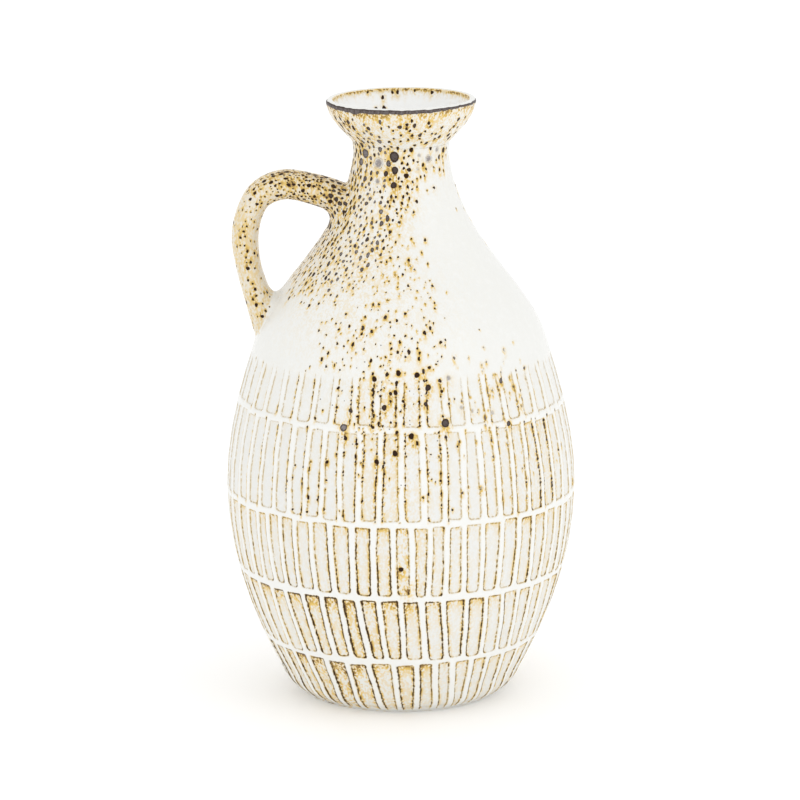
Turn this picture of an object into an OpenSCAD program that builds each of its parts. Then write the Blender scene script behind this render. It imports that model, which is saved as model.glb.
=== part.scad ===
// Glazed jug: a full-bellied body on a low foot, with four raised hoops, rows of upright ribs
// between them, a bare shoulder, a narrow neck, a flared bowl mouth and one strap handle at -X.
// Millimetres, +Z up, with the origin at the centre of the foot's underside.

/* [Body outline] */
// Diameter of the foot where it stands
foot_d = 94; // [92:1:97]
// Diameter at the heel, where the foot's flare turns into the belly
heel_d = 123; // [120:1:126]
// Height of the heel
heel_z = 16; // [15:1:18]
// Diameter at the widest point of the belly
belly_d = 172; // [166:1:178]
// Height of the widest point
belly_z = 106; // [102:1:110]
// Diameter at the shoulder, where the belly starts to turn in
shoulder_d = 141; // [137:1:145]
// Height of the shoulder
shoulder_z = 181; // [179:1:184]
// Diameter halfway up the slope from the shoulder to the neck
slope_d = 88; // [84:1:92]
// Height of that halfway point
slope_z = 221; // [218:1:224]
// Diameter of the neck under the mouth
neck_d = 45.5; // [44:0.5:48]
// Height of the corner between the neck and the mouth
neck_z = 275; // [272:1:276]

/* [Walls] */
// Thickness of the wall, square to its surface
wall = 5; // [4:0.5:5.5]
// Height of the foot ring
foot_h = 4; // [3.5:0.5:5]
// Width of the foot ring's standing face
foot_w = 8; // [6:0.5:9]
// Thickness of the floor
floor_t = 6; // [5:0.5:7]
// Diameter of the floor disc
floor_d = 96; // [92:1:96]
// Diameter of the straight throat inside the neck
throat_d = 35; // [33:0.5:36]
// Height where the straight throat starts
throat_z = 258; // [254:1:262]
// Half width and depth of the V-shaped joint between two wall rings
joint_v = 1; // [0.6:0.1:1.2]

/* [Mouth] */
// Height of the lip above the surface that the jug stands on
jug_h = 296; // [294:1:300]
// Outer diameter of the lip
mouth_d = 73; // [70:1:76]
// Outer diameter of the bowl halfway up
bowl_d = 61.6; // [60:0.2:63]
// Height of that point above the neck's corner
bowl_h = 8; // [7:0.5:9]
// Thickness of the rounded lip
lip_t = 3.8; // [3.2:0.2:4.4]

/* [Hoops and ribs] */
// Heights of the four hoops
hoop_zs = [31, 66, 103.5, 148.5]; // [26:0.5:156]
// Height of one hoop
hoop_w = 3; // [2:0.2:4]
// How far hoops and ribs stand out from the panels between them
relief_h = 1; // [0.6:0.1:1.4]
// Height where the top row of ribs runs out into the bare shoulder
rib_top_z = 174; // [168:1:178]
// Width of one rib
rib_w = 2.9; // [2:0.1:3.6]
// How far a rib strays from an even spacing, as a share of the spacing
rib_stray = 0.18; // [0:0.02:0.24]

/* [Handle] */
// Width of the strap across its middle
strap_w = 20; // [16:1:24]
// Thickness of the strap across its middle
strap_t = 13; // [11:0.5:15]

/* [Hidden] */

// Facets round a full turn
turn_fn = 144;
// Straight bands that make up one wall ring's curve
bands = 6;
// Height of the seam between the shoulder and the neck
collar_z = 228;

// Glaze and clay as they look
ivory = [0.93, 0.92, 0.87];
white = [0.98, 0.98, 0.96];
speckled = [0.84, 0.79, 0.66];
ochre = [0.80, 0.70, 0.50];
clay = [0.72, 0.63, 0.52];

// Outline of the body: height, radius, and change of radius for each millimetre of height
outline_knots = [
    [0, foot_d / 2, 2.2],
    [heel_z, heel_d / 2, 0.54],
    [belly_z, belly_d / 2, 0],
    [shoulder_z, shoulder_d / 2, -0.33],
    [slope_z, slope_d / 2, -0.73],
    [neck_z, neck_d / 2, -0.04],
];

// Outside and inside of the mouth bowl, in the same form
lip_r = lip_t / 2;
lip_z = jug_h - lip_r;
bowl_knots = [
    [neck_z, neck_d / 2 + 0.8, 0.6],
    [neck_z + bowl_h, bowl_d / 2, 0.85],
    [lip_z, mouth_d / 2, 0.2],
];
bowl_inner_knots = [
    [neck_z, throat_d / 2, 0.9],
    [lip_z, mouth_d / 2 - lip_t, 0.25],
];

// Seams between the wall rings, from the foot up: a hoop covers each of the middle four
seam_zs = concat([foot_h], hoop_zs, [rib_top_z]);
last_course = len(seam_zs) - 2;

// Ribs in each row, from the foot up, and how far they lean over as they rise, in degrees
rib_counts = [40, 48, 56, 54, 45];
rib_leans = [6, 6, 0.8, 0.4, 0];
// How much more they lean on the +X side, and less on the handle's side, as a share of that
lean_side = 0.6;
// How much the lean varies from rib to rib, in degrees
lean_vary = [2.5, 2, 1.5, 1, 1];
// Each row's rib nearest the front, in degrees round from the front
rib_fronts = [-3.5, 1.4, -3.5, 0.3, -0.3];
// How much of the stray each row has, and where its wave stands at the front, in degrees
row_strays = [1, 0.6, 1, 0.6, 0.3];
row_waves = [60, -90, 100, -10, 0];
// Steps of the two waves from rib to rib, and of the lean's from row to row, in degrees
stray_step = 40;
lean_step = 99;
row_step = 71;

// Strap handle in the XZ plane: x, z, thickness and width, from the neck to the shoulder
handle_knots = [
    [-18, 239, strap_t + 6, strap_w + 6],
    [-30, 247, strap_t + 2.5, strap_w + 3],
    [-44, 251.9, strap_t + 1.6, strap_w],
    [-58, 253.7, strap_t + 1.6, strap_w],
    [-70, 247.5, strap_t + 0.3, strap_w],
    [-76, 232, strap_t, strap_w],
    [-75, 215, strap_t - 0.5, strap_w],
    [-70.2, 198, strap_t, strap_w + 1],
    [-65, 182, strap_t + 1, strap_w + 4],
    [-57, 164, strap_t - 2, strap_w + 4],
];
handle_rings = 40;
handle_sides = 20;

// Cubic between two knots, with the slopes that they state
function cubic(a, b, z) =
    let (span = b[0] - a[0], t = (z - a[0]) / span)
    (2 * t^3 - 3 * t^2 + 1) * a[1] + (t^3 - 2 * t^2 + t) * span * a[2]
    + (3 * t^2 - 2 * t^3) * b[1] + (t^3 - t^2) * span * b[2];

// Radius of a knotted curve at height z
function curve_r(knots, z) =
    let (below = [for (i = [1 : len(knots) - 2]) if (knots[i][0] <= z) i], i = len(below))
    cubic(knots[i], knots[i + 1], z);

// Outer radius of the body, over its ribs and hoops
function outline_r(z) = curve_r(outline_knots, z);

// Radius at the bottom of the panels
function panel_r(z) = outline_r(z) - relief_h;

// Thickness of the wall along a level line, more where the wall leans
function level_wall(z) =
    let (slope = outline_r(z + 0.5) - outline_r(z - 0.5))
    wall * sqrt(1 + slope^2);

// Radius of the inside: the wall's own thickness in, but never under the throat's radius
function inner_r(z) = max(panel_r(z) - level_wall(z), throat_d / 2);

// Heights from one seam to the next
function steps(low, high) = [for (k = [0 : bands]) low + (high - low) * k / bands];

// Heights along wall course i: the seams, the edges of the hoops and even steps between them
function course_zs(i) =
    let (low = seam_zs[i], high = seam_zs[i + 1])
    concat(i > 0 ? [low] : [], steps(row_low(i), row_high(i)), i < last_course ? [high] : []);
function row_low(i) = seam_zs[i] + (i > 0 ? hoop_w / 2 : 0);
function row_high(i) = seam_zs[i + 1] - (i < last_course ? hoop_w / 2 : 0);

// V-shaped joint from the inside to the outside of the wall, pointing down
function joint(z, r_in, r_out) =
    let (mid = (r_in + r_out) / 2)
    [[r_in, z], [mid - joint_v, z], [mid, z - joint_v], [mid + joint_v, z], [r_out, z]];

function reversed(list) = [for (i = [len(list) - 1 : -1 : 0]) list[i]];

// All points but the first and the last
function between(list) = [for (i = [1 : 1 : len(list) - 2]) list[i]];

// Seat of wall course i on what is under it, and the seats higher up
function course_joint(i) =
    let (z = seam_zs[i])
    joint(z, i == 0 ? floor_d / 2 : inner_r(z), panel_r(z));
shoulder_joint = joint(rib_top_z, inner_r(rib_top_z), panel_r(rib_top_z));
collar_joint = joint(collar_z, inner_r(collar_z), outline_r(collar_z));
mouth_joint = joint(neck_z, throat_d / 2, neck_d / 2);

// Solid ring from its bottom joint, outer points, top joint and inner points
module ring(bottom, outer, top, inner) {
    rotate_extrude($fn = turn_fn)
        polygon(concat(bottom, outer, reversed(top), reversed(inner)));
}

// Outer and inner points at the heights between two seams
function panel_points(zs) = [for (z = zs) [panel_r(z), z]];
function outline_points(zs) = [for (z = zs) [outline_r(z), z]];
function inner_points(zs) = [for (z = zs) [inner_r(z), z]];

module foot_ring() {
    inner = foot_d / 2 - foot_w;
    zs = [for (k = [0 : 3]) foot_h * k / 3];
    seat = between(course_joint(0));
    color(clay)
        rotate_extrude($fn = turn_fn)
            polygon(concat([[inner, 0]], outline_points(zs), reversed(seat), [[inner, foot_h]]));
}

module floor_disc() {
    color(ivory)
        translate([0, 0, foot_h])
            cylinder(h = floor_t, d = floor_d, $fn = turn_fn);
}

// One ring of the wall, from its seam up to the next one
module wall_course(i) {
    zs = course_zs(i);
    top = i < last_course ? course_joint(i + 1) : shoulder_joint;
    floor_z = foot_h + floor_t;
    seat = i == 0 ? [[floor_d / 2, floor_z], [inner_r(floor_z), floor_z]] : [];
    inner = [for (z = between(zs)) if (i > 0 || z > floor_z) [inner_r(z), z]];
    color(ivory)
        ring(course_joint(i), panel_points(between(zs)), top, concat(seat, inner));
}

module shoulder_cone() {
    zs = steps(rib_top_z, collar_z);
    color(ivory)
        ring(concat(shoulder_joint, [[outline_r(rib_top_z), rib_top_z]]),
             outline_points(between(zs)), collar_joint, inner_points(between(zs)));
}

module neck_collar() {
    zs = steps(collar_z, neck_z);
    inside = [for (z = between(zs)) if (z < throat_z - wall) [inner_r(z), z]];
    color(speckled)
        ring(collar_joint, outline_points(between(zs)), mouth_joint,
             concat(inside, [[throat_d / 2, throat_z]]));
}

module mouth_bowl() {
    zs = between(steps(neck_z, lip_z));
    outer = [for (z = zs) [curve_r(bowl_knots, z), z]];
    inner = [for (z = zs) [curve_r(bowl_inner_knots, z), z]];
    lip = [for (a = [0 : 30 : 180]) [mouth_d / 2 - lip_r + lip_r * cos(a), lip_z + lip_r * sin(a)]];
    color(speckled)
        ring(concat(mouth_joint, [[bowl_knots[0][1], neck_z]]), outer, reversed(lip), inner);
}

// Hoop n lies over the seam between two wall courses
module hoop(n) {
    mid = hoop_zs[n];
    zs = [mid - hoop_w / 2, mid, mid + hoop_w / 2];
    color(white)
        rotate_extrude($fn = turn_fn)
            polygon(concat(outline_points(zs), reversed(panel_points(zs))));
}

// Where rib k of row i stands, in degrees round the jug, and how far it leans. Ribs are numbered from the back,
// so that half of them lie on each side of the front.
function rib_angle(i, k) =
    let (n = k - floor(rib_counts[i] / 2),
         stray = rib_stray * row_strays[i] * sin(stray_step * n + row_waves[i]))
    rib_fronts[i] - 90 + 360 / rib_counts[i] * (n + stray);
function rib_lean(i, k) =
    rib_leans[i] * (1 + lean_side * cos(rib_angle(i, k)))
    + lean_vary[i] * sin(lean_step * k + row_step * i);

// Row i of ribs: slabs that stand on the wall and end at the hoops above and below
module ribs_row(i) {
    zs = steps(row_low(i), row_high(i));
    low = row_low(i);
    high = row_high(i);
    reach = belly_d / 2 + 5;
    color(white)
        intersection() {
            rotate_extrude($fn = turn_fn)
                polygon(concat(outline_points(zs), reversed(panel_points(zs))));
            for (k = [0 : rib_counts[i] - 1])
                rotate([0, 0, rib_angle(i, k)])
                    translate([0, 0, (low + high) / 2])
                        rotate([rib_lean(i, k), 0, 0])
                            translate([reach / 2, -rib_w / 2, low - high])
                                cube([reach / 2, rib_w, 2 * (high - low)]);
        }
}

// Point at s along the handle's knots, on a smooth curve through all of them
function handle_at(s) =
    let (i = min(floor(s), len(handle_knots) - 2), t = s - i,
         a = handle_knots[max(i - 1, 0)], b = handle_knots[i],
         c = handle_knots[i + 1], d = handle_knots[min(i + 2, len(handle_knots) - 1)])
    b + ((c - a) * t + (2 * a - 5 * b + 4 * c - d) * t^2 + (3 * b - a - 3 * c + d) * t^3) / 2;

// Oval section of the strap, square to its path
function handle_ring(s) =
    let (p = handle_at(s),
         way = handle_at(s + 0.01) - handle_at(s - 0.01),
         out = [way[1], -way[0]] / norm([way[0], way[1]]))
    [for (k = [0 : handle_sides - 1])
        let (a = 360 * k / handle_sides, off = p[2] / 2 * cos(a))
        [p[0] + off * out[0], p[3] / 2 * sin(a), p[1] + off * out[1]]];

module strap() {
    last = len(handle_knots) - 1;
    points = [for (j = [0 : handle_rings]) each handle_ring(0.02 + (last - 0.04) * j / handle_rings)];
    skin = [for (j = [0 : handle_rings - 1], k = [0 : handle_sides - 1])
        let (a = j * handle_sides + k, b = j * handle_sides + (k + 1) % handle_sides)
        each [[a, b, b + handle_sides], [a, b + handle_sides, a + handle_sides]]];
    start = [[for (k = [handle_sides - 1 : -1 : 0]) k]];
    end = [[for (k = [0 : handle_sides - 1]) handle_rings * handle_sides + k]];
    polyhedron(points, concat(skin, start, end));
}

// The strap, cut to sit on the neck and the shoulder
module handle() {
    zs = concat(steps(rib_top_z, collar_z), steps(collar_z, neck_z));
    low = rib_top_z - 20;
    body = concat([[0, low], [outline_r(rib_top_z), low]], outline_points(zs), [[0, neck_z]]);
    color(ochre)
        difference() {
            strap();
            rotate_extrude($fn = turn_fn) polygon(body);
        }
}

foot_ring();
floor_disc();
wall_course(0);  // wall_course_1
wall_course(1);  // wall_course_2
wall_course(2);  // wall_course_3
wall_course(3);  // wall_course_4
wall_course(4);  // wall_course_5
shoulder_cone();
neck_collar();
mouth_bowl();
handle();
hoop(0);  // hoop_1
hoop(1);  // hoop_2
hoop(2);  // hoop_3
hoop(3);  // hoop_4
ribs_row(0);  // ribs_row_1
ribs_row(1);  // ribs_row_2
ribs_row(2);  // ribs_row_3
ribs_row(3);  // ribs_row_4
ribs_row(4);  // ribs_row_5
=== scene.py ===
"""Dresses the solids of a ribbed stoneware jug: hand-made surface, speckled glaze and a studio stage.

The body's surfaces are worked out on grids: a column is a turn about the jug's axis, counted from the front
(the -Y side) towards +X, and a row is a place along the outside profile. Lengths in the functions are in
millimetres, and each mesh is brought to metres when it is made.
"""

from collections import namedtuple
from functools import cache
from math import cos, pi, radians, sin

import bpy
import numpy as np
from bpy.props import FloatProperty, FloatVectorProperty, IntProperty, PointerProperty
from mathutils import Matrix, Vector


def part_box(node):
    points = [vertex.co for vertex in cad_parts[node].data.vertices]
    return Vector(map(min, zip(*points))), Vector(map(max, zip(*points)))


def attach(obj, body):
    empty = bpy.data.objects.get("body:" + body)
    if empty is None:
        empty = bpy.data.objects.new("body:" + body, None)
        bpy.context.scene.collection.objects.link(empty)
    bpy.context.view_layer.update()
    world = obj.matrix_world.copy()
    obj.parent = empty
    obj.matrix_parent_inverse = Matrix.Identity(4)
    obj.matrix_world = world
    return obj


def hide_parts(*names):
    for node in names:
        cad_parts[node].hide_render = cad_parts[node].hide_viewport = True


bl_info = {
    "name": "Glazed Jug",
    "version": (1, 0, 0),
    "blender": (4, 5, 0),
    "location": "View3D > Sidebar > Jug",
    "description": "Builds a ribbed and speckled stoneware jug round its solids",
    "category": "Add Mesh",
}

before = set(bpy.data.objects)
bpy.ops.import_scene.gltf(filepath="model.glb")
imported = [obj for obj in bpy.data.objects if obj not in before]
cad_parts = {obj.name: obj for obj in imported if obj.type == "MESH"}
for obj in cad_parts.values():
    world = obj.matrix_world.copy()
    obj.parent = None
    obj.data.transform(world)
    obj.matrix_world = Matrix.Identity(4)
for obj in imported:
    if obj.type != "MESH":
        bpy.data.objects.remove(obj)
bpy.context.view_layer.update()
MM = 0.001


def node_top(name):
    """Height of a solid's highest point, in millimetres."""
    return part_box(name)[1].z / MM


def node_middle(name):
    """Height halfway up a solid, in millimetres."""
    low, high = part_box(name)
    return (low.z + high.z) / 2 / MM


# Heights from the frame
FOOT_TOP = node_top("foot_ring")
RIB_TOP = node_top("ribs_row_5")
NECK_TOP = node_top("neck_collar")
JUG_TOP = node_top("mouth_bowl")
HOOPS = [node_middle(f"hoop_{number}") for number in (1, 2, 3, 4)]
SEAMS = [FOOT_TOP] + HOOPS + [RIB_TOP]
# Seam between shoulder and neck, and half the width of a hoop
COLLAR = 228
HOOP_HALF = 1.2

# Outside of the body and of the bowl, and the bowl's inside: height, radius and slope at each knot
BODY_OUTLINE = (
    (0, 47, 2.2),
    (16, 61.5, 0.54),
    (106, 86, 0),
    (181, 70.5, -0.33),
    (221, 44, -0.73),
    (275, 22.75, -0.04),
)
LIP_RADIUS = 1.9
LIP_HEIGHT = JUG_TOP - LIP_RADIUS
MOUTH_RADIUS = 36.5
BOWL_OUTSIDE = (
    (275, 23.55, 0.6),
    (283, 30.8, 0.85),
    (LIP_HEIGHT, MOUTH_RADIUS, 0.2),
)
BOWL_INSIDE = (
    (275, 17.5, 0.9),
    (LIP_HEIGHT, MOUTH_RADIUS - 2 * LIP_RADIUS, 0.25),
)
# The lip rises a little to the back, and more on the +X side than on the other
BACK_RISE = 0.9
SIDE_RISE = 0.4
# The neck flares out to meet the bowl over this height, by this much
NECK_FLARE_HEIGHT = 7
NECK_FLARE = 0.8
# Inside: the wall behind the panels, the panels' depth in the solids, the throat, the foot ring and the floor
WALL = 5
SOLID_RELIEF = 1
THROAT_RADIUS = 17.5
FOOT_INSIDE = 39
FLOOR_RADIUS = 48
FLOOR_TOP = node_top("floor_disc")

# Share of ochre that tints the glaze all over, on the body and on the handle
BODY_WASH = 0.012
HANDLE_WASH = 0.34
# Share of ash that dulls the handle's glaze
HANDLE_ASH = 0.09

# Share of white on the ribs and hoops, where the glaze is clearest, and inside the bowl, where the white is
# painted light that lifts the shade in the deep bowl
RIB_CLEAR = 0.3
BOWL_PAINTED_LIGHT = 0.9
# Share of the contrast between ribs and panels that the top row has, and the height over which its ribs fade
TOP_CONTRAST = 0.5
TOP_FADE = 6

# Columns round each piece's mesh, rows of its plain stretches, and steps between rows along the outside
COURSE_COLUMNS = 960
SHOULDER_COLUMNS = 700
NECK_COLUMNS = 600
MOUTH_COLUMNS = 640
FOOT_COLUMNS = 1000
FLOOR_COLUMNS = 360
HANDLE_COLUMNS = 150
HANDLE_ROWS = 400
LIP_ROWS = 19
BOWL_ROWS = 56
INSIDE_ROWS = 9
FLOOR_ROWS = 60
WALL_STEP = 0.5
FINE_STEP = 0.4
PROFILE_SAMPLES = 3000
# Edges that bend more than this are drawn sharp
SHARP_ANGLE = radians(62)
# Depth inside a panel: its least and greatest mark, and where a ribbed face's slope starts and ends
INSET_LOW = -3
INSET_HIGH = 6
SLOPE_START = -0.5
SLOPE_END = 0.75
# Distance of an edge that isn't there
FAR = 1e3

# Ribs of each row from the foot up: count, lean in degrees and how much the lean varies, as in the solids
RIB_COUNTS = (40, 48, 56, 54, 45)
RIB_LEANS = (6, 6, 0.8, 0.4, 0)
LEAN_VARY = (2.5, 2, 1.5, 1, 1)
LEAN_SIDE = 0.6
LEAN_STEP = 99
ROW_STEP = 71
# Each row's rib nearest the front, how far its ribs stray as a share of their spacing, and the stray's wave
RIB_FRONTS = (-3.5, 1.4, -3.5, 0.3, -0.3)
RIB_STRAYS = (0.18, 0.108, 0.18, 0.108, 0.054)
ROW_WAVES = (60, -90, 100, -10, 0)
STRAY_STEP = 40
LAST_ROW = len(RIB_COUNTS) - 1

# Strap handle: x, height, thickness and width from the neck to the shoulder
HANDLE_KNOTS = (
    (-18, 239, 19, 26),
    (-30, 247, 15.5, 23),
    (-44, 251.9, 14.6, 20),
    (-58, 253.7, 14.6, 20),
    (-70, 247.5, 13.3, 20),
    (-76, 232, 13, 20),
    (-75, 215, 12.5, 20),
    (-70.2, 198, 13, 21),
    (-65, 182, 14, 24),
    (-57, 164, 11, 24),
)

# Reach of the curve that joins the handle to the wall, inside its loop and elsewhere
LOOP_FILLET = 8
OUTER_FILLET = 1.8
# Power of the strap's section, between an ellipse (2) and a box
STRAP_POWER = 2.3
# How much closer the strap's rows lie at its ends, and how deep these run into the wall
STRAP_CROWDING = 0.45
STRAP_SINK = 2.5
# Places tried for the strap's spots, and what their draws add to the seed
STRAP_DARTS = 4200
STRAP_SEED = 40
# Dark grains in the bare clay
GROG = (0.22, 0.14, 0.08, 1)
# Rounding of the foot ring's edges
FOOT_EDGE = 0.6

# Where iron gathers along the panels' edges. For each row: its strength all round, then patches of more,
# each a facing angle, a half width in degrees and the strength that it adds.
SIDE_IRON = (
    (0.65, ((-35, 30, 0.35), (-75, 15, 0.35), (60, 14, 0.2), (38, 8, -0.1), (150, 30, 0.2))),
    (0.6, ((-20, 28, 0.4), (25, 12, 0.1), (-130, 25, 0.25))),
    (0.6, ((-15, 17, 0.45), (52, 14, 0.25), (140, 25, 0.3))),
    (0.46, ((-14, 15, 0.27), (53, 17, 0.42), (14, 5, 0.15), (165, 25, 0.3))),
    (0.42, ((-4, 17, 0.27), (42, 16, 0.13), (150, 20, 0.3))),
)
TOP_IRON = (
    (0.35, ((-28, 28, 0.85), (-70, 15, 0.3), (20, 16, 0.2), (140, 30, 0.5))),
    (0.45, ((-32, 36, 0.75), (2, 8, 0.35), (160, 30, 0.4))),
    (0.25, ((-55, 20, 0.2), (-15, 10, 0.25), (46, 10, 0.3))),
    (0.1, ((52, 12, 0.2),)),
    (0, ()),
)
FOOT_IRON = (
    (0, ()),
    (0.1, ((-24, 18, 0.4),)),
    (0.2, ((-18, 20, 0.2),)),
    (0.25, ((-30, 30, 0.1), (55, 15, 0.15))),
    (0.15, ((-15, 14, 0.2), (55, 15, 0.2))),
)
EDGE_OCHRE = (
    (0.42, ((-28, 20, 0.7), (3, 8, 0.35), (60, 14, 0.2))),
    (0.45, ((-12, 22, 0.6), (-48, 14, 0.3), (20, 12, 0.15))),
    (0.42, ((0, 8, 0.3), (-20, 14, 0.2), (50, 12, 0.2), (-70, 12, 0.3))),
    (0.25, ((-3, 12, 0.45), (57, 12, 0.5), (-68, 8, 0.25))),
    (0.15, ((-4, 14, 0.6), (52, 10, 0.3), (-62, 8, 0.2))),
)
PANEL_OCHRE = (
    (0.08, ((-26, 18, 0.5), (5, 8, 0.1), (150, 20, 0.3))),
    (0.05, ((-20, 18, 0.12),)),
    (0.04, ((2, 4, 0.35), (-5, 20, 0.05))),
    (0.03, ((-3, 12, 0.2), (52, 16, 0.12))),
    (0.03, ((-4, 14, 0.25),)),
)

# Beads of iron along the sides of the panels: share of each row, length between them, distance from the rib,
# and what they leave of the line
BEAD_SHARE = (0, 0, 0, 0.95, 0.9)
BEAD_STEP = 1.9
BEAD_AWAY = 0.4
BEADED_LINE = 0.7

# Lower edge of the speckled glaze: facing angle and height, and half the height over which it thins out
SPECKLE_EDGE = (
    (-180, 246),
    (-120, 224),
    (-75, 214),
    (-50, 210),
    (-30, 214),
    (-15, 224),
    (-5, 238),
    (5, 249),
    (14, 257),
    (45, 266),
    (75, 272),
)
SPECKLE_FADE = 14
# Zones of small spots: share, facing angle and height of the centre, half widths in degrees and millimetres
SPOT_ZONES = (
    (0.45, (-5, 158), (15, 25)),
    (0.3, (36, 160), (15, 15)),
    (0.9, (135, 258), (28, 24)),
    (0.4, (165, 156), (16, 22)),
)
# Heights between which spots are tried
SPOT_LOWEST = 100
SPOT_HIGHEST = 292.5

# Large spots of the glaze: facing angle, height, radius, share of iron and share of ash in the middle
LARGE_SPOTS = (
    (-8, 271, 2.4, 1, 0.3),
    (-7, 264.5, 1.7, 1, 0.2),
    (-28, 267.5, 2.7, 0.2, 0.95),
    (-48, 271.5, 2.3, 0.8, 0.8),
    (-56, 267, 1.7, 1, 0.8),
    (35, 269.5, 2.0, 0, 0.95),
    (48, 273.5, 1.5, 0, 0.8),
    (61, 272.5, 1.3, 1, 0.1),
    (22, 271.5, 1.2, 0, 0.6),
    (20, 265, 1.0, 0, 0.5),
    (12, 274.5, 1.1, 1, 0),
    (6, 262, 1.2, 1, 0),
    (-8, 257.5, 1.5, 1, 0.15),
    (-27, 259, 1.5, 0, 0.85),
    (-10, 172, 1.25, 1, 0),
    (-1, 175, 1.3, 1, 0),
    (6, 174, 1.3, 1, 0),
    (10, 168, 1.45, 1, 0.1),
    (-6, 159, 1.25, 1, 0.1),
    (-18, 157, 1.1, 1, 0.2),
    (15.5, 151.5, 1.9, 1, 0.3),
    (-20, 149, 1.7, 1, 0.95),
    (-2, 138, 1.3, 1, 0),
    (-8, 134, 1.2, 1, 0),
    (3.5, 146, 1.4, 1, 0),
    (-2, 166, 1.1, 1, 0),
    (0, 81.5, 1.2, 1, 0),
    (2.2, 72, 2.0, 0, 0),
    (18, 172, 1.5, 0, 0.8),
    (22, 158, 1.2, 0, 0.6),
    (26, 156, 1.1, 0, 0.6),
    (34, 154, 1.3, 0, 0.6),
    (40, 168, 1.2, 1, 0.6),
    (40, 148, 1.2, 1, 0.4),
)
# Spots inside the bowl: facing angle, length in from the lip's crest and radius
INNER_SPOTS = (
    (-163.5, 5.6, 0.8),
    (-163, 10.3, 1.0),
    (-155, 10.2, 0.7),
    (-177, 3.4, 0.8),
    (-172.5, 3.4, 0.7),
    (168, 2.6, 0.6),
    (152, 3.2, 0.8),
    (-150, 2.6, 0.6),
    (70, 6, 0.7),
    (-40, 8, 0.8),
)

# Soft lights: name, place, side in metres and power in watts
SOFT_LIGHTS = (
    ("key", (1.6, -1.2, 1.5), 1.2, 3.5),
    ("front", (-0.2, -1.7, 0.2), 1.0, 2),
)
SURROUND_STRENGTH = 1.03
STAGE_HALF = 8.0
# Camera: distance and height of its aim in metres, tilt, lens and sensor in millimetres, and shift
CAMERA_DISTANCE = 2.0
CAMERA_AIM = 0.146
CAMERA_TILT = radians(12.41)
CAMERA_LENS = 182.2
CAMERA_SENSOR = 36
CAMERA_SHIFT = -0.00125

Spot = namedtuple("Spot", "turn along size stretch iron ash halo phase")


# Numbers on grids


def smooth(value, low=0.0, high=1.0):
    """Smooth step from 0 at low to 1 at high: 3t^2 - 2t^3 of the share t of the way."""
    share = np.clip((value - low) / (high - low), 0, 1)
    return share * share * (3 - 2 * share)


def hill(value, centre, half):
    """Bell of height 1: e to the minus square of the distance from a centre over a half width."""
    return np.exp(-(((value - centre) / half) ** 2))


def both(first, second):
    """Share that two stains cover together: 1 - (1 - a)(1 - b)."""
    return 1 - (1 - first) * (1 - second)


def knotted(knots, height):
    """Radius at each height of the cubics that join knots of height, radius and slope (Hermite form)."""
    place, radius, slope = np.array(knots, float).T
    first = np.clip(np.searchsorted(place, height, side="right") - 1, 0, len(knots) - 2)
    span = place[first + 1] - place[first]
    t = (height - place[first]) / span
    start = radius[first] * (2 * t**3 - 3 * t**2 + 1) + slope[first] * span * (t**3 - 2 * t**2 + t)
    end = radius[first + 1] * (3 * t**2 - 2 * t**3) + slope[first + 1] * span * (t**3 - t**2)
    return start + end


def outside_radius(height):
    """Radius of the smooth outside: the body's outline with the neck's flare, then the bowl's."""
    height = np.asarray(height, float)
    flare = NECK_FLARE * smooth(height, NECK_TOP - NECK_FLARE_HEIGHT, NECK_TOP)
    body = knotted(BODY_OUTLINE, np.minimum(height, NECK_TOP)) + flare
    bowl = knotted(BOWL_OUTSIDE, np.maximum(height, NECK_TOP))
    return np.where(height < NECK_TOP, body, bowl)


def wall_slope(height, step):
    """Slope of the smooth outside at each height: the change of its radius over two steps."""
    return (outside_radius(height + step) - outside_radius(height - step)) / (2 * step)


def inside_radius(height):
    """Radius of the hollow: the panels' less the wall, measured level, and never under the throat's."""
    level = WALL * np.sqrt(1 + wall_slope(height, 0.5) ** 2) + SOLID_RELIEF
    return np.maximum(outside_radius(height) - level, THROAT_RADIUS)


PROFILE_HEIGHT = np.linspace(0, LIP_HEIGHT, PROFILE_SAMPLES)
PROFILE_RADIUS = outside_radius(PROFILE_HEIGHT)
PROFILE_STEPS = np.hypot(np.diff(PROFILE_HEIGHT), np.diff(PROFILE_RADIUS))
PROFILE_ALONG = np.concatenate(([0.0], np.cumsum(PROFILE_STEPS)))


def along_profile(height):
    """Length along the outside profile from the foot up to each height."""
    return np.interp(height, PROFILE_HEIGHT, PROFILE_ALONG)


def profile_rows(low, high, step):
    """Heights from low to high that lie a step apart along the outside profile."""
    start, end = along_profile(np.array((low, high), float))
    count = int(round((end - start) / step)) + 1
    return np.interp(np.linspace(start, end, count), PROFILE_ALONG, PROFILE_HEIGHT)


def turns(count):
    """Evenly spaced turns about the axis, from the back round by -X, the front and +X."""
    return -pi + 2 * pi * np.arange(count) / count


def wrapped(angle):
    """Angle brought to the half turn either way from zero."""
    return (angle + pi) % (2 * pi) - pi


def patched(tone, turn):
    """Strength at each turn: a base plus bells, each of a facing angle, a half width and a share."""
    base, patches = tone
    strength = np.full(np.shape(turn), float(base))
    for angle, half, share in patches:
        strength += share * hill(wrapped(turn - radians(angle)), 0, radians(half))
    return strength


def wavering(turn, waves):
    """Sum of sines round the jug, each a count round it, a height and a phase."""
    return sum(height * np.sin(count * turn + phase) for count, height, phase in waves)


# Meshes


def grid_faces(rows, columns, close_rows):
    """Quads of a grid whose columns close on themselves, and its rows too where close_rows is set."""
    row = np.arange(rows if close_rows else rows - 1)[:, None]
    column = np.arange(columns)[None, :]
    above = (row + 1) % rows
    beside = (column + 1) % columns
    corners = (
        row * columns + column,
        row * columns + beside,
        above * columns + beside,
        above * columns + column,
    )
    return np.stack(np.broadcast_arrays(*corners), -1).reshape(-1, 4)


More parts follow.
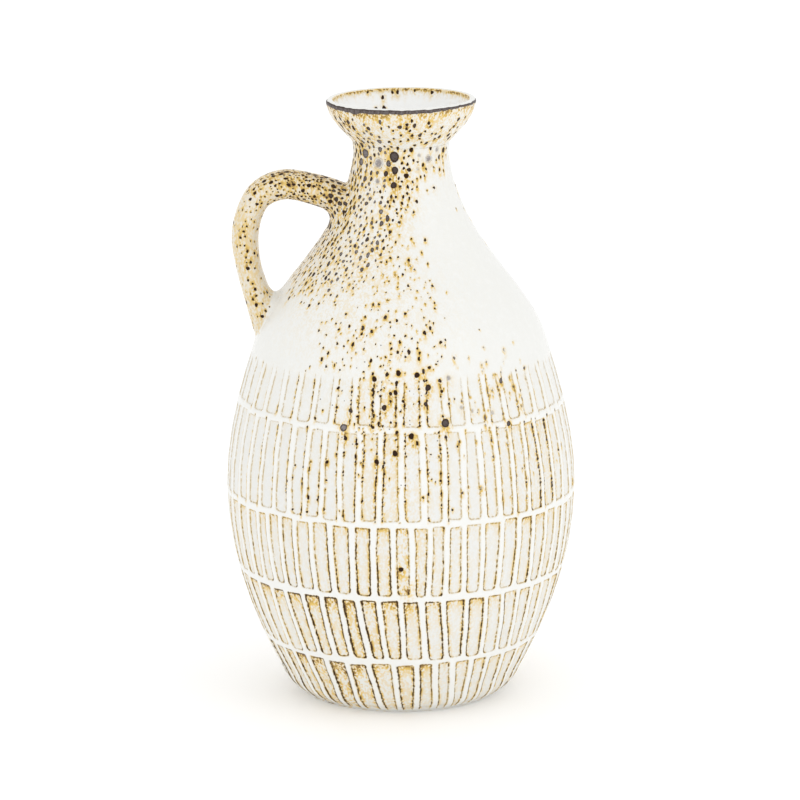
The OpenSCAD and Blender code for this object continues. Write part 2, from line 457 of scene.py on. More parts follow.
def tube_faces(rows, columns):
    """Quads of a grid of rows round a tube, and a cap over each of its ends."""
    faces = grid_faces(rows, columns, close_rows=False).tolist()
    faces.append(list(range(columns))[::-1])
    faces.append(list(range((rows - 1) * columns, rows * columns)))
    return faces


def new_piece(name, points, faces, marks, material, nodes, normals=None):
    """Mesh object of points in millimetres and faces, in place of nodes, with marks as point attributes.
    Normals, where given, hold at the points where they aren't zero."""
    mesh = bpy.data.meshes.new(name)
    mesh.from_pydata((points.reshape(-1, 3) * MM).tolist(), [], faces)
    mesh.shade_smooth()
    mesh.set_sharp_from_angle(angle=SHARP_ANGLE)
    if normals is not None:
        mesh.normals_split_custom_set_from_vertices(normals.reshape(-1, 3).tolist())
    for mark, values in marks.items():
        attribute = mesh.attributes.new(mark, "FLOAT", "POINT")
        attribute.data.foreach_set("value", np.ascontiguousarray(values, np.float32).ravel())
    mesh.materials.append(material)
    piece = bpy.data.objects.new(name, mesh)
    bpy.context.scene.collection.objects.link(piece)
    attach(piece, "root")
    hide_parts(*nodes)
    return piece


def revolved(turn, radius, height):
    """Points (r sin t, -r cos t, z) at each turn, radius and height: turn 0 faces the front."""
    turn, radius, height = np.broadcast_arrays(turn, radius, height)
    return np.stack((radius * np.sin(turn), -radius * np.cos(turn), height), -1)


MARKS = ("inset", "line", "pool", "clear", "wash", "fleck", "ochre", "iron", "ash", "grit")


def bare_marks(shape):
    """Marks of a plain stretch of glaze."""
    marks = {mark: np.zeros(shape) for mark in MARKS}
    marks["inset"] += INSET_LOW
    marks["wash"] += BODY_WASH
    return marks


def joined_marks(*stretches):
    """Marks of stretches of rows laid one after another."""
    return {mark: np.concatenate([stretch[mark] for stretch in stretches]) for mark in MARKS}


# Glaze spots


def neck_share(degrees, height):
    """Share of the speckled glaze at a facing angle and height: a smooth step across its lower edge, which
    slants up from the left of the shoulder to the front of the neck, thinner on the right and fading to the
    back."""
    low = np.interp(degrees, *np.transpose(SPECKLE_EDGE))
    share = smooth(height, low - SPECKLE_FADE, low + SPECKLE_FADE) * smooth(degrees, -172, -140)
    share = share * (1 - 0.7 * smooth(degrees, 5, 25)) * smooth(-degrees, -78, -62)
    return share * (height < NECK_TOP + 1)


def ground_share(turn, height):
    """Strength of the ochre flecks between spots: on the speckled neck and a little past its edge, more to
    its left and top, over the bowl, and thinly over the front of the shoulder."""
    degrees = np.degrees(turn)
    neck = patched((0.23, ((-80, 30, 0.2), (0, 14, 0.1))), turn)
    neck = neck * (0.4 + 0.6 * smooth(height, 215, 255))
    bowl = patched((0.3, ((-70, 35, 0.5), (80, 40, 0.2))), turn)
    bowl = bowl * smooth(height, NECK_TOP, NECK_TOP + 2)
    front = 0.22 * bell(degrees, height, (-18, 204), (36, 28)) * (height < NECK_TOP)
    return neck * neck_share(degrees - 7, height + 10) + bowl + front


def bell(degrees, height, centre, half):
    """Bell over the wall about a facing angle and a height, with half widths in degrees and millimetres."""
    across = np.degrees(wrapped(np.radians(degrees - centre[0])))
    return hill(across, 0, half[0]) * hill(height, centre[1], half[1])


def spot_share(degrees, height):
    """Chance of a spot at a facing angle and height: the greatest of the zones' smooth steps and bells."""
    neck = neck_share(degrees, height) * (1 + 0.6 * smooth(height, 255, 268))
    sparse = 0.17 * smooth(height, 165, 178) * smooth(236 - height, 0, 8)
    sparse = sparse * smooth(degrees, -44, -18) * smooth(26 - degrees, 0, 14)
    lower = 0.09 * smooth(height, 104, 114) * smooth(151 - height, 0, 10)
    lower = lower * bell(degrees, height, (15, 130), (40, 60))
    bowl = 0.24 * smooth(height, 275.5, 277) * smooth(291 - height, 0, 3)
    bowl = bowl * (0.3 + 0.7 * hill(degrees, -15, 40))
    under_bowl = height < NECK_TOP + 1
    zones = [share * bell(degrees, height, *zone) * under_bowl for share, *zone in SPOT_ZONES]
    return np.maximum.reduce((neck, sparse, lower, bowl, *zones))


def edge_share(turn, height):
    """Nearness of each point among the ribs to a rib's edge: a bell of the distance to the nearest one."""
    share = np.zeros(len(turn))
    for row in range(len(RIB_COUNTS)):
        within = (height > SEAMS[row]) & (height < SEAMS[row + 1])
        rib_turn, rib_lean = rib_places(row)
        rise = height[within, None] - row_middle(row)
        across = wrapped(turn[within, None] - rib_turn) * outside_radius(height[within, None])
        across = np.abs(across + np.tan(rib_lean) * rise).min(axis=1)
        share[within] = hill(across, rib_half() + 0.3, 0.5)
    return share


@cache
def body_spots():
    """Spots over the body, neck and bowl: the large ones, darts thrown at the outside, evenly by area, and
    beads. A dart stays where a draw is under the zone's share and it lies clear of the spots before it."""
    settings = bpy.context.scene.jug_speckle
    rng = np.random.default_rng(settings.seed)
    spots = []
    for degrees, height, size, iron, ash in LARGE_SPOTS:
        phase = rng.uniform(0, 2 * pi)
        along = float(along_profile(height))
        halo = 0.2 if ash > iron else 0.85
        spots.append(Spot(radians(degrees), along, size, 1.1, iron, ash, halo, phase))
    count = settings.darts
    thrown = rng.uniform(along_profile(SPOT_LOWEST), along_profile(SPOT_HIGHEST), count)
    heights = np.interp(thrown, PROFILE_ALONG, PROFILE_HEIGHT)
    facing = rng.uniform(-180, 180, count)
    radius = outside_radius(heights)
    share = spot_share(facing, heights) * radius / radius.max() * (1 + 60 / radius) / 2
    by_edges = 0.2 + 2 * edge_share(np.radians(facing), heights)
    share = share * np.where(heights < RIB_TOP, by_edges, 1)
    kept = rng.uniform(0, 1, count) < share
    draws = rng.uniform(0, 1, (count, 5))
    room = int(kept.sum())
    placed = [tuple(revolved(s.turn, outside_radius(h[1]), h[1])) for s, h in zip(spots, LARGE_SPOTS)]
    placed = np.array(placed + [(0.0, 0.0, 0.0)] * room)
    sizes = np.array([s.size for s in spots] + [0.0] * room)
    total = len(spots)
    gap = settings.gap / MM
    for index in np.flatnonzero(kept):
        degrees, height = facing[index], heights[index]
        size_draw, gap_draw, grey_draw, halo_draw, long_draw = draws[index]
        turn = radians(degrees)
        point = revolved(turn, radius[index], height)
        high = smooth(height, 191, 218)
        weak = (1 - neck_share(degrees, height)) * smooth(height, 196, 212) * (height < NECK_TOP)
        size = 0.31 + 0.15 * high + 0.12 * smooth(height, 235, 265) + 0.55 * size_draw**2.2
        size = size * (1 - 0.2 * weak)
        clear = np.linalg.norm(placed[:total] - point, axis=1) - sizes[:total] - size
        closeness = 0.6 + 0.4 * smooth(height, 181, 200)
        if clear.min() < gap * (0.6 + 0.8 * gap_draw) * closeness:
            continue
        placed[total] = point
        sizes[total] = size
        total += 1
        greyed = smooth(degrees, -58, -40) * smooth(-degrees, 8, 20) * high
        pale = smooth(degrees, 14, 24) * (height < 185)
        greyed = max(greyed, 0.8 * pale)
        ash = greyed * grey_draw + 0.3 * smooth(size, 0.7, 0.95) * halo_draw
        halo = (0.6 + 0.5 * halo_draw) * (1 - 0.4 * greyed) + 0.2 * (height < RIB_TOP)
        stretch = 1.05 + 0.6 * long_draw + 0.3 * smooth(-degrees, 40, 60) * high
        along = float(along_profile(height))
        iron = 1 - 0.5 * weak * grey_draw - 0.45 * pale
        spots.append(Spot(turn, along, size, stretch, iron, ash, halo, 2 * pi * gap_draw))
    return spots + edge_beads(rng)


def spot_marks(spots, turn, along, radius):
    """Iron, ash, ochre and hollow that spots leave on a grid of rows (a place along the profile and its
    radius) and columns (turns). Distances from a spot are in its own radii, x across and y down the wall. Its
    edge is a circle that wavers with two sines of the direction, ashen spots have a thin dark outline, and
    ochre is a bell drawn out below."""
    iron, ash, ochre, hollow = np.zeros((4, len(along), len(turn)))
    for spot in spots:
        reach = 4.5 * spot.size * spot.stretch
        rows = np.flatnonzero(np.abs(along - spot.along) < reach)
        if not len(rows):
            continue
        across = wrapped(turn - spot.turn)
        columns = np.flatnonzero(np.abs(across) * radius[rows].min() < reach)
        window = np.ix_(rows, columns)
        x = across[columns][None, :] * radius[rows][:, None] / spot.size
        y = (spot.along - along[rows])[:, None] / (spot.size * spot.stretch)
        way = np.arctan2(y, x)
        waver = 0.14 * np.sin(2 * way + spot.phase) + 0.1 * np.sin(3 * way - 2 * spot.phase)
        out = np.hypot(x, y) / (1 + min(1, 0.7 / spot.size) * waver)
        outline = 0.58 * spot.ash * hill(out, 0.95, 0.16)
        core = np.maximum(spot.iron * (1 - smooth(out, 0.6, 1.4)), outline)
        grey = spot.ash * (1 - smooth(out, 0.45, 0.95))
        run = 1.5 * spot.halo * hill(x, 0, 1.5) * hill(y, 0, np.where(y > 0, 2.8, 1.3))
        iron[window] = np.maximum(iron[window], core)
        ash[window] = np.maximum(ash[window], grey)
        ochre[window] = both(ochre[window], np.minimum(run, 1))
        deep = max(spot.iron, spot.ash)
        pit = 0.28 * min(spot.size, 1.2) * deep * (1 - smooth(out, 0.2, 1.1))
        rim = 0.07 * deep * hill(out, 1.3, 0.25)
        hollow[window] = np.maximum(hollow[window], pit) - rim
    return iron, ash, ochre, hollow


# Ribs and panels


def row_middle(row):
    """Height halfway up a row of ribs."""
    return (SEAMS[row] + SEAMS[row + 1]) / 2


def rib_half():
    """Half the width of a rib."""
    return bpy.context.scene.jug_relief.rib_width / MM / 2


def rib_places(row):
    """Turn at mid height and lean of each rib in a row, by the same rule as the solids: even steps from the
    front that stray with a sine of the rib's number, and a lean that grows towards +X."""
    count = RIB_COUNTS[row]
    number = np.arange(count)
    place = number - count // 2
    place = place + RIB_STRAYS[row] * np.sin(np.radians(STRAY_STEP * place + ROW_WAVES[row]))
    turn = np.radians(RIB_FRONTS[row] + 360 / count * place)
    vary = LEAN_VARY[row] * np.sin(np.radians(LEAN_STEP * number + ROW_STEP * row))
    lean = RIB_LEANS[row] * (1 + LEAN_SIDE * np.sin(turn)) + vary
    return turn, np.radians(lean)


def rib_draws(row):
    """Draws for the ribs of a row, which set their wander, their width and the strength of their edges."""
    rng = np.random.default_rng(bpy.context.scene.jug_relief.seed + row)
    return rng.uniform(0, 1, (8, RIB_COUNTS[row]))


def rib_line(row, rib, rise):
    """How far a rib's middle lies from its turn at a rise over the row's middle, and half the rib's width
    there: its lean and two sines of the rise, and a draw and a sine of the rise."""
    draws = rib_draws(row)[:, rib]
    lean = rib_places(row)[1][rib]
    wander = 0.16 * np.sin(rise / 7 + 6 * draws[0]) + 0.08 * np.sin(rise / 3.1 + 9 * draws[1])
    width = rib_half() * (0.88 + 0.24 * draws[2]) + 0.07 * np.sin(rise / 5 + 7 * draws[3])
    return wander - np.tan(lean) * rise, width


def edge_iron_share(row, rib, side, turn):
    """Strength of the iron along a rib's edge, on its +X side (1) or the other (-1): the row's tone at that
    turn, a draw for the edge, and more on the edges that face away from the front."""
    draw = np.where(side > 0, rib_draws(row)[6][rib], rib_draws(row)[7][rib])
    return patched(SIDE_IRON[row], turn) * (0.68 + 0.5 * draw) * (1 + 0.3 * side * np.sin(turn))


def edge_beads(rng):
    """Small spots strung along the edges of the panels, about a step apart, each kept where a draw is under
    the row's share times a smooth step of the edge's iron."""
    beads = []
    for row, share in enumerate(BEAD_SHARE):
        if share == 0:
            continue
        steps = np.arange(SEAMS[row] + 2, SEAMS[row + 1] - 1, BEAD_STEP)
        grids = np.meshgrid(range(RIB_COUNTS[row]), steps, (-1, 1))
        rib, height, side = (grid.ravel() for grid in grids)
        draws = rng.uniform(0, 1, (5, len(rib)))
        height = height + 0.4 * BEAD_STEP * (draws[1] - 0.5)
        shift, width = rib_line(row, rib, height - row_middle(row))
        turn = rib_places(row)[0][rib] + (shift + side * (width + BEAD_AWAY)) / outside_radius(height)
        edge_iron = edge_iron_share(row, rib, side, wrapped(turn))
        kept = draws[0] < share * smooth(edge_iron, 0.34, 0.75)
        facing = np.degrees(wrapped(turn))
        ash = 0.7 * smooth(facing, 16, 30) * draws[3]
        iron = 1 - 0.35 * smooth(facing, 14, 24) * smooth(50 - facing, 0, 8)
        size = 0.3 + 0.3 * draws[2] ** 2
        stretch = 1.1 + 0.7 * draws[4]
        halo = 0.8 - 0.5 * ash
        phase = 2 * pi * draws[1]
        columns = (turn, along_profile(height), size, stretch, iron, ash, halo, phase)
        beads += [Spot(*bead) for bead in np.transpose(columns)[kept]]
    return beads


def beside_ribs(row, turn, rise, radius):
    """Distance across from each point of a row to the edge of the rib on its left and on its right, and the
    numbers of those ribs."""
    shape = (len(rise), len(turn))
    left, right = np.full((2, *shape), FAR)
    left_rib, right_rib = np.zeros((2, *shape), int)
    rib_turn = rib_places(row)[0]
    for rib in range(RIB_COUNTS[row]):
        shift, width = rib_line(row, rib, rise[:, None])
        across = wrapped(turn[None, :] - rib_turn[rib]) * radius[:, None] - shift
        nearer = (across >= 0) & (across - width < left)
        left = np.where(nearer, across - width, left)
        left_rib = np.where(nearer, rib, left_rib)
        nearer = (across < 0) & (-across - width < right)
        right = np.where(nearer, -across - width, right)
        right_rib = np.where(nearer, rib, right_rib)
    return left, right, left_rib, right_rib


def panel_marks(row, turn, height, radius):
    """How deep each point of a row lies inside its panel, the iron and ochre along its edges and the flecks
    in it. A panel is a box between two ribs and two hoops, with rounded corners: inside, the distance to the
    nearest edge; in a corner, the corner's radius less the distance to its centre. Iron falls off from each
    edge as a bell and ochre as a power of e, both with the edge's own strength."""
    settings = bpy.context.scene.jug_relief
    draws = rib_draws(row)
    facing, level = turn[None, :], height[:, None]
    left, right, left_rib, right_rib = beside_ribs(row, turn, height - row_middle(row), radius)
    waves = ((2, 0.25, row), (5, 0.2, 2 * row + 1), (17, 0.12, row), (41, 0.1, 3 * row))
    hoop_wave = wavering(facing, waves)
    foot = SEAMS[row] + HOOP_HALF + hoop_wave + 0.9 * (draws[4][left_rib] - 0.4)
    top = SEAMS[row + 1] - HOOP_HALF + hoop_wave - 1.1 * (draws[5][left_rib] - 0.3)
    above = level - foot if row else np.full(left.shape, FAR)
    below = top - level if row < LAST_ROW else np.full(left.shape, FAR)
    side = np.minimum(left, right)
    end = np.minimum(above, below)
    corner = np.where(above < below, settings.low_corner / MM, settings.top_corner / MM)
    round_in = corner - np.hypot(corner - side, corner - end)
    inset = np.where((side < corner) & (end < corner), round_in, np.minimum(side, end))

    share = (level - SEAMS[row]) / (SEAMS[row + 1] - SEAMS[row])
    upward = 1.15 - 0.45 * share * (row > 1)
    left_tone = edge_iron_share(row, left_rib, 1, facing) * upward
    right_tone = edge_iron_share(row, right_rib, -1, facing) * upward
    top_tone = patched(TOP_IRON[row], facing) * (0.6 + 0.6 * draws[1][left_rib])
    foot_tone = patched(FOOT_IRON[row], facing) * (0.6 + 0.6 * draws[2][left_rib])
    left, right, above, below = (np.maximum(far, 0) for far in (left, right, above, below))
    edges = ((left, left_tone), (right, right_tone), (below, top_tone), (above, foot_tone))
    line = np.maximum.reduce([tone * hill(far, 0, 1.6) for far, tone in edges])
    low_corners = np.exp(-(np.maximum(side, 0) ** 2 + above**2) / 1.4) * (row > 0)
    line = line + 0.6 * draws[3][left_rib] * low_corners
    line = line * (1 if BEAD_SHARE[row] == 0 else BEADED_LINE)
    warm = 1.5 * (left_tone * np.exp(-left / 1.2) + right_tone * np.exp(-right / 1.2))
    warm = warm + 3.2 * top_tone * np.exp(-below / 2.6)
    within = smooth(inset, -0.3, 0.4)
    ochre = np.clip(patched(EDGE_OCHRE[row], facing) * warm, 0, 1) * within
    fleck = patched(PANEL_OCHRE[row], facing) * within
    return inset, np.clip(line, 0, 0.95), ochre, fleck


def lay_panels(marks, panels, fade, contrast=1):
    """Adds the marks of a row's panels to a stretch's own: their depth, lines, ochre and flecks, and smooth
    steps of the depth for the glaze that pools in them and for the clear glaze on the ribs."""
    inset, line, ochre, fleck = panels
    marks["inset"] = np.clip(inset, INSET_LOW, INSET_HIGH)
    marks["line"] = line * fade
    marks["pool"] = smooth(inset, 0.2, 2.0) * fade * contrast
    marks["clear"] = RIB_CLEAR * smooth(-inset, -0.2, 0.7) * fade * contrast
    marks["fleck"] += fleck * fade
    marks["ochre"] = both(ochre * fade, marks["ochre"])


def panel_depth(inset, fade):
    """How far the wall lies under the ribs: a smooth step of the depth inside a panel."""
    return bpy.context.scene.jug_relief.height / MM * smooth(inset, SLOPE_START, SLOPE_END) * fade


def grit_share(turn, height):
    """Share of fine dark grit: a bell over the middle of the front and a fainter one over the neck."""
    degrees = np.degrees(turn)[None, :]
    tall = height[:, None]
    middle = hill(degrees, -4, 15) * hill(tall, 158, 24)
    return np.clip(middle + 0.4 * neck_share(degrees, tall), 0, 1)


def glaze_marks(turn, height, along, radius):
    """Marks and hollows of the glaze's spots on a stretch of rows, with its ochre ground and its grit."""
    marks = bare_marks((len(height), len(turn)))
    spots = body_spots()
    marks["iron"], marks["ash"], marks["ochre"], hollow = spot_marks(spots, turn, along, radius)
    marks["fleck"] = ground_share(turn[None, :], height[:, None])
    marks["grit"] = grit_share(turn, height)
    return marks, hollow


# Materials


def add_node(tree, kind, inputs=(), **settings):
    """Node with its settings; an input that is a socket is linked and any other is a value."""
    node = tree.nodes.new(kind)
    for name, value in settings.items():
        setattr(node, name, value)
    for key, value in dict(inputs).items():
        if isinstance(value, bpy.types.NodeSocket):
            tree.links.new(value, node.inputs[key])
        else:
            node.inputs[key].default_value = value
    return node


def set_inputs(node, values):
    """Sets values of a node's inputs by name."""
    for name, value in values.items():
        node.inputs[name].default_value = value


def calc(tree, operation, *values, clamp=False):
    """Result of a math node on values or sockets."""
    node = add_node(tree, "ShaderNodeMath", enumerate(values), operation=operation, use_clamp=clamp)
    return node.outputs[0]


def step_up(tree, value, low, high, to=1.0):
    """Smooth step of a socket from 0 at low to a height at high."""
    inputs = {"Value": value, "From Min": low, "From Max": high, "To Min": 0.0, "To Max": to}
    return add_node(tree, "ShaderNodeMapRange", inputs, interpolation_type="SMOOTHSTEP").outputs[0]


def over(tree, share, under, upper):
    """Colour under covered by a share of the colour upper."""
    inputs = {0: share, 6: under, 7: upper}
    return add_node(tree, "ShaderNodeMix", inputs, data_type="RGBA").outputs[2]


def mark(tree, name):
    """Socket of a point attribute."""
    return add_node(tree, "ShaderNodeAttribute", attribute_name=name).outputs["Fac"]


def cloud(tree, place, scale, detail=2.0, rough=0.5):
    """Socket of a noise of so many blotches a metre."""
    inputs = {"Vector": place, "Scale": scale, "Detail": detail, "Roughness": rough}
    return add_node(tree, "ShaderNodeTexNoise", inputs).outputs["Fac"]


def stretched(tree, place, rise):
    """Place socket with heights scaled, so that a noise on it runs up and down."""
    return add_node(tree, "ShaderNodeMapping", {"Vector": place, "Scale": (1, 1, rise)}).outputs[0]


def roughen(tree, shader, height, strength, distance):
    """Bumps a shader's surface by a height socket."""
    inputs = {"Height": height, "Strength": strength, "Distance": distance}
    bump = add_node(tree, "ShaderNodeBump", inputs)
    tree.links.new(bump.outputs[0], shader.inputs["Normal"])


def new_material(name):
    """Empty material and its node tree, shader and place socket."""
    material = bpy.data.materials.new(name)
    material.use_nodes = True
    tree = material.node_tree
    shader = tree.nodes["Principled BSDF"]
    place = add_node(tree, "ShaderNodeTexCoord").outputs["Object"]
    return material, tree, shader, place


COLOUR_NAMES = ("ivory", "panel", "white", "ochre", "amber", "umber", "iron", "ash")


@cache
def glaze():
    """Glaze over the clay: ivory on the ribs and greyer where it pools in the panels, flecked with white,
    stained with ochre by the marks, by flecks, by the edge of a panel and by a wash all over, and amber where
    the stain is strongest. Along a panel's edge runs a thin umber stroke, broken into iron dashes where a
    noise and the line's strength add up. Then come iron spots, grit, and the ash in the large spots."""
    colours = bpy.context.scene.jug_colours
    material, tree, shader, place = new_material("speckled_glaze")
    tint = {key: (*getattr(colours, key), 1) for key in COLOUR_NAMES}
    fine = cloud(tree, place, 1500, 3)
    drift = cloud(tree, place, 70, 4, 0.6)
    streak = cloud(tree, stretched(tree, place, 0.22), 260, 3, 0.6)
    dash = cloud(tree, stretched(tree, place, 0.45), 650, 2, 0.6)
    bead = cloud(tree, stretched(tree, place, 0.7), 1000, 2)
    grain = calc(tree, "MULTIPLY_ADD", dash, 0.35, calc(tree, "MULTIPLY", bead, 0.65))
    inset, line = mark(tree, "inset"), mark(tree, "line")

    colour = over(tree, mark(tree, "pool"), tint["ivory"], tint["panel"])
    paler = step_up(tree, cloud(tree, place, 300, 3, 0.6), 0.45, 0.75, 0.2)
    clear = calc(tree, "ADD", mark(tree, "clear"), paler)
    # White where the glaze is clear on the ribs and hoops, in pale flecks, and inside the bowl, where it is
    # painted light
    colour = over(tree, clear, colour, tint["white"])

    blotch = calc(tree, "MULTIPLY_ADD", streak, 0.3, calc(tree, "MULTIPLY", grain, 0.7))
    mottle = calc(tree, "ADD", step_up(tree, blotch, 0.43, 0.57), 0.2)
    flecks = calc(tree, "MULTIPLY", step_up(tree, blotch, 0.46, 0.57), mark(tree, "fleck"))

    edge = calc(tree, "ABSOLUTE", calc(tree, "SUBTRACT", inset, 0.35))
    thin = calc(tree, "SUBTRACT", 1.0, step_up(tree, edge, 0.1, 0.48))
    beads = calc(tree, "MULTIPLY_ADD", edge, -0.4, calc(tree, "MULTIPLY_ADD", line, 0.37, grain))
    dashes = step_up(tree, beads, 0.63, 0.75, 0.85)
    edge_iron = calc(tree, "MULTIPLY", dashes, step_up(tree, line, 0.1, 0.45))
    soft = calc(tree, "SUBTRACT", 1.0, step_up(tree, inset, 0.4, 1.9))
    soft = calc(tree, "MULTIPLY", soft, step_up(tree, inset, -0.6, 0.2))

    stain = calc(tree, "MULTIPLY_ADD", calc(tree, "MULTIPLY", soft, line), 0.85, mark(tree, "ochre"))
    stain = calc(tree, "MULTIPLY_ADD", stain, mottle, flecks)
    washed = calc(tree, "MULTIPLY_ADD", mottle, 0.6, 0.45)
    stain = calc(tree, "MULTIPLY_ADD", washed, mark(tree, "wash"), stain)
    stroke = calc(tree, "MULTIPLY_ADD", line, 1.05, step_up(tree, line, 0.0, 0.12, 0.2))
    stroke = calc(tree, "MULTIPLY", thin, stroke)
    stroke = calc(tree, "MULTIPLY", stroke, step_up(tree, grain, 0.3, 0.6, 1.3))
    stain = calc(tree, "MULTIPLY_ADD", stroke, 0.5, stain)
    colour = over(tree, calc(tree, "MULTIPLY", stain, 1.1, clamp=True), colour, tint["ochre"])
    colour = over(tree, step_up(tree, stain, 0.8, 1.7), colour, tint["amber"])
    colour = over(tree, calc(tree, "MULTIPLY", stroke, 0.75, clamp=True), colour, tint["umber"])

    cells = add_node(tree, "ShaderNodeTexVoronoi", {"Vector": place, "Scale": 520.0})
    speck = calc(tree, "SUBTRACT", 1.0, step_up(tree, cells.outputs["Distance"], 0.12, 0.24))
    chosen = add_node(tree, "ShaderNodeSeparateColor", {0: cells.outputs["Color"]}).outputs[0]
    chosen = calc(tree, "LESS_THAN", chosen, calc(tree, "MULTIPLY", mark(tree, "grit"), 0.3))
    grit = calc(tree, "MULTIPLY", calc(tree, "MULTIPLY", speck, chosen), 0.7)

    spot = calc(tree, "MULTIPLY_ADD", calc(tree, "SUBTRACT", fine, 0.5), 0.4, mark(tree, "iron"))
    spot = step_up(tree, spot, 0.36, 0.68)
    iron = calc(tree, "MAXIMUM", calc(tree, "MAXIMUM", spot, edge_iron), grit)
    colour = over(tree, iron, colour, tint["iron"])
    ash = calc(tree, "MULTIPLY", mark(tree, "ash"), step_up(tree, fine, 0.2, 0.5))
    colour = over(tree, ash, colour, tint["ash"])
    tree.links.new(colour, shader.inputs["Base Color"])

    rough = calc(tree, "MULTIPLY_ADD", iron, 0.25, step_up(tree, fine, 0.0, 1.0, 0.08))
    rough = calc(tree, "ADD", rough, 0.2)
    tree.links.new(rough, shader.inputs["Roughness"])
    relief = calc(tree, "MULTIPLY_ADD", iron, -0.35, calc(tree, "MULTIPLY", drift, 0.6))
    relief = calc(tree, "MULTIPLY_ADD", fine, 0.15, relief)
    roughen(tree, shader, relief, 0.25, 0.0006)
    set_inputs(shader, {"IOR": 1.5, "Specular IOR Level": 0.16})
    return material


@cache
def bare_clay():
    """Unglazed fired clay: buff with darker grog, matt, with a fine grain."""
    colours = bpy.context.scene.jug_colours
    material, tree, shader, place = new_material("bare_clay")
    grain = cloud(tree, place, 900, 4, 0.65)
    drift = cloud(tree, place, 60, 3)
    buff = (*colours.clay, 1)
    toasted = (*(0.6 * np.array(colours.clay)), 1)
    colour = over(tree, step_up(tree, drift, 0.35, 0.75, 0.6), buff, toasted)
    cells = add_node(tree, "ShaderNodeTexVoronoi", {"Vector": place, "Scale": 380.0})
    grog = calc(tree, "SUBTRACT", 1.0, step_up(tree, cells.outputs["Distance"], 0.1, 0.28))
    colour = over(tree, calc(tree, "MULTIPLY", grog, 0.45), colour, GROG)
    tree.links.new(colour, shader.inputs["Base Color"])
    roughen(tree, shader, grain, 0.6, 0.0004)
    set_inputs(shader, {"Roughness": 0.85})
    return material


# Sizes and colours that a user would change


class JugRelief(bpy.types.PropertyGroup):
    """Raised ribs and hoops"""

    height: FloatProperty(
        name="Height",
        description="How far ribs and hoops stand proud of the panels",
        default=0.0006,
        unit="LENGTH",
    )
    rib_width: FloatProperty(
        name="Rib width", description="Width of a rib", default=0.0029, unit="LENGTH"
    )
    low_corner: FloatProperty(
        name="Lower corner", description="Radius of a panel's lower corners", default=0.0019, unit="LENGTH"
    )
    top_corner: FloatProperty(
        name="Upper corner", description="Radius of a panel's upper corners", default=0.0008, unit="LENGTH"
    )
    seed: IntProperty(name="Seed", description="Draws the wander of the ribs", default=11)


class JugSpeckle(bpy.types.PropertyGroup):
    """Spots of the glaze"""

    gap: FloatProperty(
        name="Gap", description="Least clear gap between spots", default=0.0012, unit="LENGTH"
    )
    darts: IntProperty(name="Darts", description="Places tried for spots", default=60000)
    seed: IntProperty(name="Seed", description="Draws the places of the spots", default=5)


class JugColours(bpy.types.PropertyGroup):
    """Colours of the glaze and the clay"""

    ivory: FloatVectorProperty(
        name="Ivory",
        description="Glaze on raised and bare stretches",
        default=(0.805, 0.808, 0.783),
        subtype="COLOR",
    )
    panel: FloatVectorProperty(
        name="Panel", description="Glaze pooled in the panels", default=(0.772, 0.778, 0.762), subtype="COLOR"
    )
    # White also stands for the clear glaze on the ribs and for the painted light inside the bowl
    white: FloatVectorProperty(
        name="White", description="Flecks in the glaze", default=(0.9, 0.905, 0.898), subtype="COLOR"
    )
    ochre: FloatVectorProperty(
        name="Ochre", description="Stain round spots and edges", default=(0.76, 0.53, 0.145), subtype="COLOR"
    )
    amber: FloatVectorProperty(
        name="Amber", description="Stain where it is strongest", default=(0.3, 0.178, 0.06), subtype="COLOR"
    )
    umber: FloatVectorProperty(
        name="Umber", description="Strokes along the panels", default=(0.15, 0.098, 0.045), subtype="COLOR"
    )
    iron: FloatVectorProperty(
        name="Iron", description="Core of the spots", default=(0.026, 0.0085, 0.001), subtype="COLOR"
    )
    ash: FloatVectorProperty(
        name="Ash", description="Middle of the large spots", default=(0.27, 0.248, 0.25), subtype="COLOR"
    )
    clay: FloatVectorProperty(
        name="Clay", description="Bare clay under the foot", default=(0.48, 0.36, 0.24), subtype="COLOR"
    )


# Pieces


def ring_rows(low, high, columns):
    """Turns, and the heights, radii and places along the profile of a ring's outside rows, a step apart."""
    height = profile_rows(low, high, WALL_STEP)
    return turns(columns), height, outside_radius(height), along_profile(height)


def inner_rows(low, high, columns):
    """Radii and heights of a ring's inside, from the top down, as a grid."""
    height = np.linspace(high, low, INSIDE_ROWS)
    shape = (len(height), columns)
    radius = np.broadcast_to(inside_radius(height)[:, None], shape)
    return radius, np.broadcast_to(height[:, None], shape)


def seam_normals(turn, height):
    """Normals of the plain outside at one height, so that the pieces on both sides of a seam shade alike."""
    step = 0.2
    levels = (height - step, height + step)
    low, high = (outside_radius(level) + hand_waver(turn, np.array([level]))[0] for level in levels)
    slope = (high - low) / (2 * step)
    return np.stack((np.sin(turn), -np.cos(turn), -slope), -1) / np.sqrt(1 + slope**2)[:, None]


def ring_piece(name, turn, height, radius, marks, nodes):
    """Glazed ring whose outside is a grid of radii, with flat ends and a plain inside."""
    inner_radius, inner_height = inner_rows(height[0], height[-1], len(turn))
    outer_height = np.broadcast_to(height[:, None], radius.shape)
    radii = np.concatenate((radius, inner_radius))
    heights = np.concatenate((outer_height, inner_height))
    points = revolved(turn[None, :], radii, heights)
    marks = joined_marks(marks, bare_marks(inner_radius.shape))
    normals = np.zeros(points.shape)
    for end in (0, len(height) - 1):
        if min(abs(height[end] - crease) for crease in (FOOT_TOP, NECK_TOP)) > 0.1:
            normals[end] = seam_normals(turn, height[end])
    faces = grid_faces(*radii.shape, close_rows=True)
    return new_piece(name, points, faces, marks, glaze(), nodes, normals)


def hand_waver(turn, height):
    """Slight unevenness of a thrown wall: shallow waves round it and turning rings up it."""
    round_it = wavering(turn, ((2, 0.12, 0.4), (3, 0.1, 2.1), (7, 0.04, 1.0)))[None, :]
    level = height[:, None]
    return round_it * np.sin(level / 37 + 1) + 0.05 * np.sin(level / 2.3)


